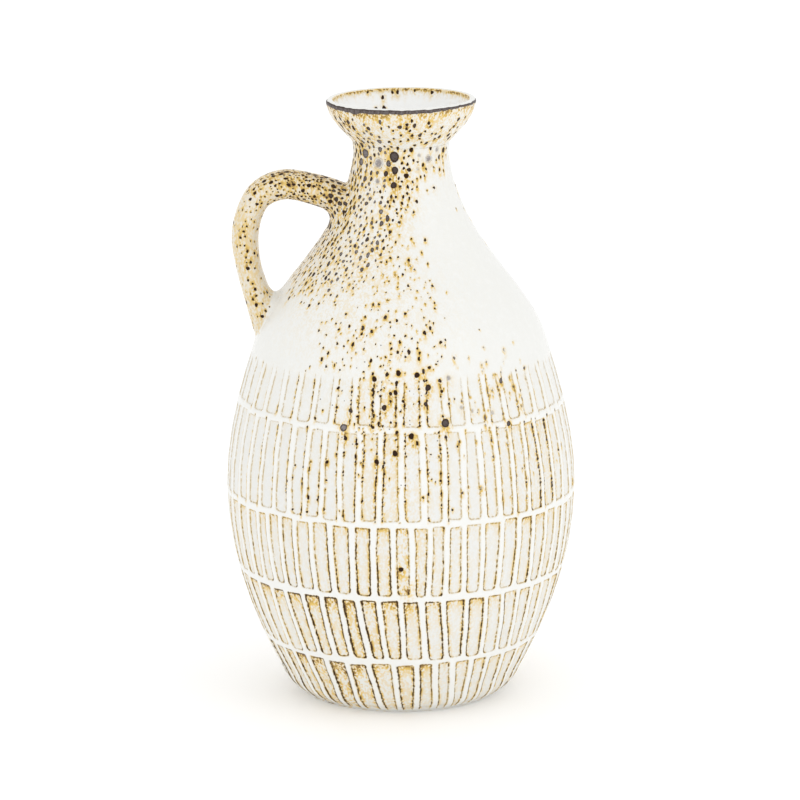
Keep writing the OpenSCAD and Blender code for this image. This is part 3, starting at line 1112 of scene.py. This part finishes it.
def bare_ring(name, low, high, columns, node):
    """Ring of wall without ribs: the smooth outside with its waver, less the hollows of its spots."""
    turn, height, radius, along = ring_rows(low, high, columns)
    marks, hollow = glaze_marks(turn, height, along, radius)
    outer = radius[:, None] - hollow + hand_waver(turn, height)
    ring_piece(name, turn, height, outer, marks, [node])


class JUG_OT_courses(bpy.types.Operator):
    """Five ribbed courses of the wall, each with its row of ribs and the hoop above it"""

    bl_idname = "jug.courses"
    bl_label = "Ribbed courses"

    def execute(self, context):
        for row in range(len(RIB_COUNTS)):
            turn, height, radius, along = ring_rows(SEAMS[row], SEAMS[row + 1], COURSE_COLUMNS)
            panels = panel_marks(row, turn, height, radius)
            fade = np.ones((len(height), 1))
            if row == LAST_ROW:
                fade = smooth(RIB_TOP - 0.5 - height, 0, TOP_FADE)[:, None]
            marks, hollow = glaze_marks(turn, height, along, radius)
            lay_panels(marks, panels, fade, TOP_CONTRAST if row == LAST_ROW else 1)
            outer = radius[:, None] - panel_depth(panels[0], fade) - hollow + hand_waver(turn, height)
            nodes = [f"wall_course_{row + 1}", f"ribs_row_{row + 1}"]
            if row < LAST_ROW:
                nodes.append(f"hoop_{row + 1}")
            ring_piece(f"ribbed_course_{row + 1}", turn, height, outer, marks, nodes)
        return {"FINISHED"}


class JUG_OT_shoulder(bpy.types.Operator):
    """Bare shoulder above the ribs"""

    bl_idname = "jug.shoulder"
    bl_label = "Shoulder"

    def execute(self, context):
        bare_ring("shoulder", RIB_TOP, COLLAR, SHOULDER_COLUMNS, "shoulder_cone")
        return {"FINISHED"}


class JUG_OT_neck(bpy.types.Operator):
    """Narrow neck between the shoulder and the bowl"""

    bl_idname = "jug.neck"
    bl_label = "Neck"

    def execute(self, context):
        bare_ring("neck", COLLAR, NECK_TOP, NECK_COLUMNS, "neck_collar")
        return {"FINISHED"}


class JUG_OT_mouth(bpy.types.Operator):
    """Flared bowl mouth with its rounded lip and the dark line under it"""

    bl_idname = "jug.mouth"
    bl_label = "Mouth"

    def execute(self, context):
        turn = turns(MOUTH_COLUMNS)
        height = profile_rows(NECK_TOP, LIP_HEIGHT, FINE_STEP)
        radius, along = outside_radius(height), along_profile(height)
        outer, hollow = glaze_marks(turn, height, along, radius)
        outer_radius = radius[:, None] - hollow + hand_waver(turn, height)

        bend = np.linspace(0, pi, LIP_ROWS)[1:-1]
        wave = hand_waver(turn, np.array([LIP_HEIGHT]))
        lip_radius = MOUTH_RADIUS - LIP_RADIUS + LIP_RADIUS * np.cos(bend)[:, None] + wave
        lip_height = LIP_HEIGHT + LIP_RADIUS * np.sin(bend)
        lip = bare_marks(lip_radius.shape)

        down = np.linspace(LIP_HEIGHT, NECK_TOP, BOWL_ROWS)
        inner_wave = wave * smooth(down, NECK_TOP, LIP_HEIGHT)[:, None]
        inner_radius = knotted(BOWL_INSIDE, down)[:, None] + inner_wave
        inner = bare_marks(inner_radius.shape)

        quarter = LIP_RADIUS * pi / 2
        from_crest = np.concatenate((along[-1] - along + quarter, quarter - LIP_RADIUS * bend))
        self.outside_marks(outer, lip, turn, from_crest)
        inward = np.concatenate((LIP_RADIUS * bend - quarter, LIP_HEIGHT - down + quarter))
        inward_radius = np.concatenate((lip_radius[:, 0], inner_radius[:, 0]))
        self.inside_marks(lip, inner, turn, inward, inward_radius)
        radii = np.concatenate((outer_radius, lip_radius, inner_radius))
        level = np.concatenate((height, lip_height, down))[:, None]
        crest_rise = BACK_RISE * (1 - np.cos(turn)) / 2 + SIDE_RISE * np.sin(turn)
        heights = level + crest_rise[None, :] * smooth(level, NECK_TOP + 1, LIP_HEIGHT)
        points = revolved(turn[None, :], radii, heights)
        marks = joined_marks(outer, lip, inner)
        faces = grid_faces(*radii.shape, close_rows=True)
        new_piece("mouth", points, faces, marks, glaze(), ["mouth_bowl"])
        return {"FINISHED"}

    def outside_marks(self, outer, lip, turn, from_crest):
        """Marks below the lip's crest: a dark band that thins towards the right, darkest along its upper
        edge, with streaks of ochre under it. Bands are smooth steps of the length down from the crest."""
        facing = turn[None, :]
        crest = from_crest[:, None]
        rows = len(outer["iron"])
        waver = wavering(turn, ((6, 0.1, 0), (17, 0.08, 1), (31, 0.08, 2), (53, 0.06, 0.5)))[None, :]
        ragged = wavering(turn, ((61, 0.08, 1.3), (97, 0.07, 0.2), (149, 0.06, 2)))[None, :]
        width = patched((1.0, ((-35, 45, 0.5), (60, 30, -0.6), (-38, 2.5, 0.8))), facing)
        width = width + waver + ragged
        band = smooth(crest, 1.3 + waver, 1.8 + waver) * (1 - smooth(crest, 1.6 + width, 3.0 + width))
        burnt = patched((0.3, ((-55, 35, 0.7), (150, 40, 0.4))), facing)
        burnt = burnt * (1 - smooth(crest, 1.8, 2.5))
        greyed = (0.42 + ragged) * band * (1 - burnt)
        streaks = wavering(turn, ((43, 0.3, 0), (71, 0.25, 1), (97, 0.25, 2)))[None, :]
        bleed = smooth(crest, 1.7, 2.5) * np.exp(-np.maximum(crest - 3.4, 0) / (3.0 + 1.6 * streaks))
        ochre = bleed * patched((1.25, ((-40, 50, 0.4), (55, 25, -0.3), (130, 60, 0.2))), facing)
        iron, ochre = np.clip(band, 0, 1), np.clip(ochre, 0, 1)
        outer["iron"] = np.maximum(outer["iron"], iron[:rows])
        outer["ash"] = np.maximum(outer["ash"], greyed[:rows])
        outer["ochre"] = both(outer["ochre"], ochre[:rows])
        lip["iron"], lip["ash"], lip["ochre"] = iron[rows:], greyed[rows:], ochre[rows:]

    def inside_marks(self, lip, inner, turn, inward, radius):
        """Marks inward of the crest: a thin ochre line, streaky below, and spots along and under it."""
        rows = len(lip["iron"])
        deep = inward[:, None]
        streaks = wavering(turn, ((23, 0.3, 0), (37, 0.3, 1), (61, 0.3, 2)))[None, :]
        around = patched((0.75, ((170, 55, 0.5), (90, 30, 0.3), (-90, 40, 0.1))), turn[None, :])
        line = smooth(deep, 1.0, 1.7) * np.exp(-np.maximum(deep - 2.0, 0) / (1.3 + 0.7 * streaks))
        spots = [
            Spot(radians(degrees), -along, size, 1.2, 1, 0, 0.6, degrees)
            for degrees, along, size in INNER_SPOTS
        ]
        iron, _, ochre, _ = spot_marks(spots, turn, -inward, radius)
        ochre = both(ochre, np.clip(around * line, 0, 1))
        thread = 0.6 * around * smooth(streaks, 0.15, 0.6) * hill(deep, 1.9, 0.45)
        iron = np.maximum(iron, np.clip(thread, 0, 1))
        lip["ochre"] = np.maximum(lip["ochre"], ochre[:rows])
        lip["iron"] = np.maximum(lip["iron"], iron[:rows])
        inner["ochre"], inner["iron"] = ochre[rows:], iron[rows:]
        # Painted light: white laid over the inside of the bowl lifts the shade that falls in its depth
        inner["clear"] += BOWL_PAINTED_LIGHT
        golden = 0.55 * around * hill(deep, 2.1, 0.8)
        lip["wash"] += golden[:rows]
        inner["wash"] = golden[rows:]


def handle_path(count):
    """Centre, thickness and width along the strap (Catmull-Rom through its knots), and its unit way forward.
    The rows lie closer towards both ends, by a sine of the share of the way."""
    knots = np.array(HANDLE_KNOTS, float)
    even = np.linspace(0, 1, count)
    place = (len(knots) - 1) * (even - STRAP_CROWDING * np.sin(2 * pi * even) / (2 * pi))
    first = np.minimum(place.astype(int), len(knots) - 2)
    t = (place - first)[:, None]
    before = knots[np.maximum(first - 1, 0)]
    start, end = knots[first], knots[first + 1]
    after = knots[np.minimum(first + 2, len(knots) - 1)]
    cubic = (
        2 * start
        + (end - before) * t
        + (2 * before - 5 * start + 4 * end - after) * t**2
        + (3 * start - before - 3 * end + after) * t**3
    ) / 2
    way = np.gradient(cubic[:, :2], axis=0)
    return cubic, way / np.linalg.norm(way, axis=1)[:, None]


def wall_below(points):
    """Outward normal of the smooth wall at each point's height and turn, and the distance from the wall."""
    x, y, height = np.moveaxis(points, -1, 0)
    radius = np.hypot(x, y)
    slope = wall_slope(height, 0.25)
    length = np.sqrt(1 + slope**2)
    normal = np.stack((x / radius, y / radius, -slope), -1) / length[..., None]
    return normal, (radius - outside_radius(height)) / length


class JUG_OT_handle(bpy.types.Operator):
    """Strap handle from the neck to the shoulder"""

    bl_idname = "jug.handle"
    bl_label = "Handle"

    def execute(self, context):
        path, way = handle_path(HANDLE_ROWS)
        angle = turns(HANDLE_COLUMNS)
        bulge = 2 / STRAP_POWER
        thick = np.sign(np.cos(angle)) * np.abs(np.cos(angle)) ** bulge
        wide = np.sign(np.sin(angle)) * np.abs(np.sin(angle)) ** bulge
        steps = np.linalg.norm(np.diff(path[:, :2], axis=0), axis=1)
        along = np.concatenate(([0.0], np.cumsum(steps)))
        girth = (path[:, 2] + path[:, 3]) / 4
        marks = bare_marks((len(path), len(angle)))
        spots = self.spots(along[-1], float(girth.mean()))
        marks["iron"], marks["ash"], marks["ochre"], hollow = spot_marks(spots, angle, along, girth)
        outer_side = np.clip(thick, 0, 1)[None, :]
        inner_side = np.clip(-thick, 0, 1)[None, :]
        marks["grit"] += 0.5 * (1 - smooth(along, 20, 60))[:, None]
        dent = 1 - hollow / girth[:, None]
        wave = 1 + 0.012 * np.sin(along / 9)[:, None] + 0.01 * np.sin(along / 4.3 + 2)[:, None]
        off = path[:, 2:3] / 2 * thick * dent * wave
        side = path[:, 3:4] / 2 * wide * dent * wave
        reach = OUTER_FILLET + (LOOP_FILLET - OUTER_FILLET) * smooth(-thick, -0.1, 0.95)[None, :]
        points, nearness = self.filleted(path, way, off, side, reach)
        own = 1 - nearness
        marks["wash"] += (HANDLE_WASH - BODY_WASH) * own
        marks["ash"] = np.maximum(marks["ash"], HANDLE_ASH * own * (1 - marks["iron"]))
        marks["fleck"] = own * (0.2 + 0.3 * outer_side**3 + 0.1 * inner_side**3)
        turn = np.arctan2(points[..., 0], -points[..., 1])
        marks["fleck"] += nearness * ground_share(turn, points[..., 2])
        faces = tube_faces(*nearness.shape)
        new_piece("strap_handle", points, faces, marks, glaze(), ["handle"])
        return {"FINISHED"}

    def filleted(self, path, way, off, side, reach):
        """Points of the strap, spread along the wall where they come near it, and their nearness to it.
        At a distance b from the wall a point moves along it until it is a from the strap, with
        sqrt(a) + sqrt(b) = sqrt(reach): a curve that leaves the strap and meets the wall smoothly."""
        points = self.placed(path, way, off, side)
        outward = points - self.placed(path, way, 0 * off, 0 * side)
        outward /= np.linalg.norm(outward, axis=-1, keepdims=True)
        wall, clear = wall_below(points)
        leaning = (outward * wall).sum(-1, keepdims=True)
        along_wall = outward - leaning * wall
        sine = np.linalg.norm(along_wall, axis=-1, keepdims=True)
        along_wall /= np.maximum(sine, 0.05)
        near = np.clip(clear, 0, reach)
        spread = (np.sqrt(reach) - np.sqrt(near)) ** 2 / np.maximum(sine[..., 0], 0.5)
        moved = points + spread[..., None] * along_wall
        wall, drifted = wall_below(moved)
        sink = np.maximum(clear, -STRAP_SINK) - drifted
        moved = moved + sink[..., None] * wall
        return moved, 1 - smooth(clear, 0.2 * reach, 0.4 * reach)

    def placed(self, path, way, off, side):
        """Points of the strap: its centre plus off, square to it in the handle's plane, and side across."""
        x = path[:, :1] + off * way[:, 1:2]
        z = path[:, 1:2] - off * way[:, :1]
        return np.stack(np.broadcast_arrays(x, side, z), -1)

    def spots(self, length, girth):
        """Spots of the strap: dense from the neck over its top, a few down its side."""
        rng = np.random.default_rng(bpy.context.scene.jug_speckle.seed + STRAP_SEED)
        spots = []
        for along, turn, kind, size, draw in rng.uniform(0, 1, (STRAP_DARTS, 5)):
            side = np.abs(np.abs(wrapped(2 * pi * turn - pi)) - pi / 2) < 0.3
            share = 0.9 * (1 - smooth(along, 0.3, 0.46)) + 0.1 + 0.6 * side * smooth(along, 0.35, 0.45)
            if kind > share:
                continue
            radius = 0.36 + 0.7 * size**2.2 + 0.3 * (1 - smooth(along, 0.08, 0.3))
            ash = 0.4 * draw * (1 - smooth(along, 0.1, 0.2))
            place = Spot(2 * pi * turn - pi, along * length, radius, 1, 1, ash, 0.62, 6 * draw)
            near = [
                np.hypot(place.along - s.along, wrapped(place.turn - s.turn) * girth) - s.size - radius
                for s in spots
            ]
            if near and min(near) < 0.25 + 1.1 * smooth(along, 0.3, 0.45):
                continue
            spots.append(place)
        return spots


def profile_points(radius, height):
    """Radius and height of each point of a profile."""
    return np.stack(np.broadcast_arrays(radius, height), -1)


class JUG_OT_foot(bpy.types.Operator):
    """Standing foot: glazed outside, bare clay where it stands and inside the ring"""

    bl_idname = "jug.foot"
    bl_label = "Foot"

    def execute(self, context):
        turn = turns(FOOT_COLUMNS)
        bend = np.linspace(-pi / 2, 0, 8)
        round_out, round_up = FOOT_EDGE * np.cos(bend), FOOT_EDGE + FOOT_EDGE * np.sin(bend)
        tall = profile_rows(FOOT_EDGE, FOOT_TOP, FINE_STEP)
        wide = outside_radius(tall)
        inner, outer = FOOT_INSIDE + FOOT_EDGE, wide[0] - FOOT_EDGE
        standing = profile_points(np.linspace(inner, outer, 12), 0.0)[:-1]
        rounding = profile_points(outer + round_out, round_up)[:-1]
        outside = profile_points(wide, tall)
        top = profile_points(np.linspace(FLOOR_RADIUS, FOOT_INSIDE, 4), FOOT_TOP)
        inside = profile_points(FOOT_INSIDE, np.linspace(FOOT_TOP, FOOT_EDGE, 6))[1:]
        easing = profile_points(inner - round_out, round_up)[::-1][1:-1]
        profile = np.concatenate((standing, rounding, outside, top, inside, easing))
        first = len(standing) + len(rounding)
        rows = slice(first, first + len(outside))

        panels = panel_marks(0, turn, tall, wide)
        fade = smooth(tall, 1.2, 3.4)[:, None]
        dressed = bare_marks((len(outside), len(turn)))
        lay_panels(dressed, panels, fade)
        below = bare_marks((first, len(turn)))
        within = bare_marks((len(profile) - rows.stop, len(turn)))
        marks = joined_marks(below, dressed, within)
        rim = patched((0.15, ((-50, 35, 0.7), (150, 50, 0.3))), turn[None, :])
        rim = rim * (1 - smooth(profile[:, 1:], 0.5, 1.5))
        broken = wavering(turn, ((29, 0.5, 0), (47, 0.4, 1), (83, 0.4, 2)))[None, :]
        broken = smooth(broken, -0.8, 0.8)
        marks["ochre"] = np.maximum(marks["ochre"], rim * broken)
        marks["iron"] = 0.7 * rim * broken**2

        radius = np.repeat(profile[:, :1], len(turn), axis=1)
        radius[rows] -= panel_depth(panels[0], fade)
        points = revolved(turn[None, :], radius, profile[:, 1:])
        faces = grid_faces(*points.shape[:2], close_rows=True)
        piece = new_piece("standing_foot", points, faces, marks, glaze(), ["foot_ring"])
        piece.data.materials.append(bare_clay())
        bare = np.ones(len(profile), int)
        bare[len(standing) + 2:rows.stop] = 0
        piece.data.polygons.foreach_set("material_index", np.repeat(bare, len(turn)))
        return {"FINISHED"}


class JUG_OT_floor(bpy.types.Operator):
    """Floor of the jug: bare and turned below, glazed inside"""

    bl_idname = "jug.base"
    bl_label = "Floor disc"

    def execute(self, context):
        turn = turns(FLOOR_COLUMNS)
        out = np.linspace(0.02, 1, FLOOR_ROWS) * FLOOR_RADIUS
        under = FOOT_TOP + 0.12 * np.sin(out * 1.6) * smooth(out, 0, 8)
        inside = FLOOR_TOP + 0.15 * np.sin(out * 0.9)
        profile = np.concatenate((profile_points(out, under), profile_points(out, inside)[::-1]))
        points = revolved(turn[None, :], profile[:, :1], profile[:, 1:])
        rows, columns = points.shape[:2]
        marks = bare_marks((rows, columns))
        faces = tube_faces(rows, columns)
        piece = new_piece("glazed_floor", points, faces, marks, glaze(), ["floor_disc"])
        piece.data.materials.append(bare_clay())
        below = np.repeat(np.arange(rows - 1) < len(out), columns).astype(int)
        piece.data.polygons.foreach_set("material_index", np.concatenate((below, [1, 0])))
        return {"FINISHED"}


class JUG_OT_stage(bpy.types.Operator):
    """Pale floor, soft studio light and the camera"""

    bl_idname = "jug.stage"
    bl_label = "Stage"

    def execute(self, context):
        scene = context.scene
        self.floor()
        self.world(scene)
        for light in SOFT_LIGHTS:
            self.soft_light(*light)
        self.camera(scene)
        scene.view_settings.view_transform = "Standard"
        return {"FINISHED"}

    def floor(self):
        """Wide flat sheet under the foot."""
        mesh = bpy.data.meshes.new("stage_floor")
        signs = ((-1, -1), (1, -1), (1, 1), (-1, 1))
        corners = [(x * STAGE_HALF, y * STAGE_HALF, 0.0) for x, y in signs]
        mesh.from_pydata(corners, [], [(0, 1, 2, 3)])
        material, tree, shader, place = new_material("stage_paper")
        tooth = cloud(tree, place, 500, 2)
        roughen(tree, shader, tooth, 0.05, 0.0005)
        set_inputs(shader, {
            "Base Color": (0.98, 0.98, 0.98, 1),
            "Roughness": 0.9,
            "Specular IOR Level": 0.1,
            # Painted glow: the paper glows faintly, so that it lights the lower wall from below and the
            # shadow under the jug is lighter
            "Emission Color": (1, 1, 1, 1),
            "Emission Strength": 0.08,
        })
        mesh.materials.append(material)
        floor = bpy.data.objects.new("stage_floor", mesh)
        bpy.context.scene.collection.objects.link(floor)

    def world(self, scene):
        """Even white surroundings."""
        world = bpy.data.worlds.new("studio")
        world.use_nodes = True
        background = world.node_tree.nodes["Background"]
        set_inputs(background, {"Color": (1, 1, 1, 1), "Strength": SURROUND_STRENGTH})
        scene.world = world

    def soft_light(self, name, place, side, power):
        """Square soft light of so many watts, facing the middle of the jug."""
        lamp = bpy.data.lights.new(name, "AREA")
        lamp.size = side
        lamp.energy = power
        light = bpy.data.objects.new(name, lamp)
        light.location = place
        aim = Vector((0, 0, JUG_TOP * MM / 2)) - light.location
        light.rotation_euler = aim.to_track_quat("-Z", "Y").to_euler()
        bpy.context.scene.collection.objects.link(light)

    def camera(self, scene):
        """Camera in front of the jug and a little above it, aimed at half its height."""
        data = bpy.data.cameras.new("camera")
        data.sensor_width = CAMERA_SENSOR
        data.lens = CAMERA_LENS
        data.shift_x = CAMERA_SHIFT
        camera = bpy.data.objects.new("camera", data)
        back, up = CAMERA_DISTANCE * cos(CAMERA_TILT), CAMERA_DISTANCE * sin(CAMERA_TILT)
        camera.location = (0, -back, CAMERA_AIM + up)
        camera.rotation_euler = (pi / 2 - CAMERA_TILT, 0, 0)
        scene.collection.objects.link(camera)
        scene.camera = camera


OPERATORS = (
    JUG_OT_courses,
    JUG_OT_shoulder,
    JUG_OT_neck,
    JUG_OT_mouth,
    JUG_OT_handle,
    JUG_OT_foot,
    JUG_OT_floor,
    JUG_OT_stage,
)


class JUG_PT_sidebar(bpy.types.Panel):
    """Sizes, colours and pieces of the jug"""

    bl_label = "Glazed Jug"
    bl_idname = "JUG_PT_sidebar"
    bl_space_type = "VIEW_3D"
    bl_region_type = "UI"
    bl_category = "Jug"

    def draw(self, context):
        column = self.layout.column()
        scene = context.scene
        for group in (scene.jug_relief, scene.jug_speckle, scene.jug_colours):
            for name in group.bl_rna.properties.keys():
                if name not in ("rna_type", "name"):
                    column.prop(group, name)
        for operator in OPERATORS:
            column.operator(operator.bl_idname)


CLASSES = (JugRelief, JugSpeckle, JugColours, *OPERATORS, JUG_PT_sidebar)


def register():
    """Adds the classes and their settings to Blender."""
    for item in CLASSES:
        bpy.utils.register_class(item)
    bpy.types.Scene.jug_relief = PointerProperty(type=JugRelief)
    bpy.types.Scene.jug_speckle = PointerProperty(type=JugSpeckle)
    bpy.types.Scene.jug_colours = PointerProperty(type=JugColours)


def unregister():
    """Takes them away again."""
    del bpy.types.Scene.jug_relief
    del bpy.types.Scene.jug_speckle
    del bpy.types.Scene.jug_colours
    for item in reversed(CLASSES):
        bpy.utils.unregister_class(item)


def main():
    """Builds the pieces and the stage."""
    register()
    bpy.ops.jug.courses()
    bpy.ops.jug.shoulder()
    bpy.ops.jug.neck()
    bpy.ops.jug.mouth()
    bpy.ops.jug.handle()
    bpy.ops.jug.foot()
    bpy.ops.jug.base()
    bpy.ops.jug.stage()


if __name__ == "__main__":
    main()
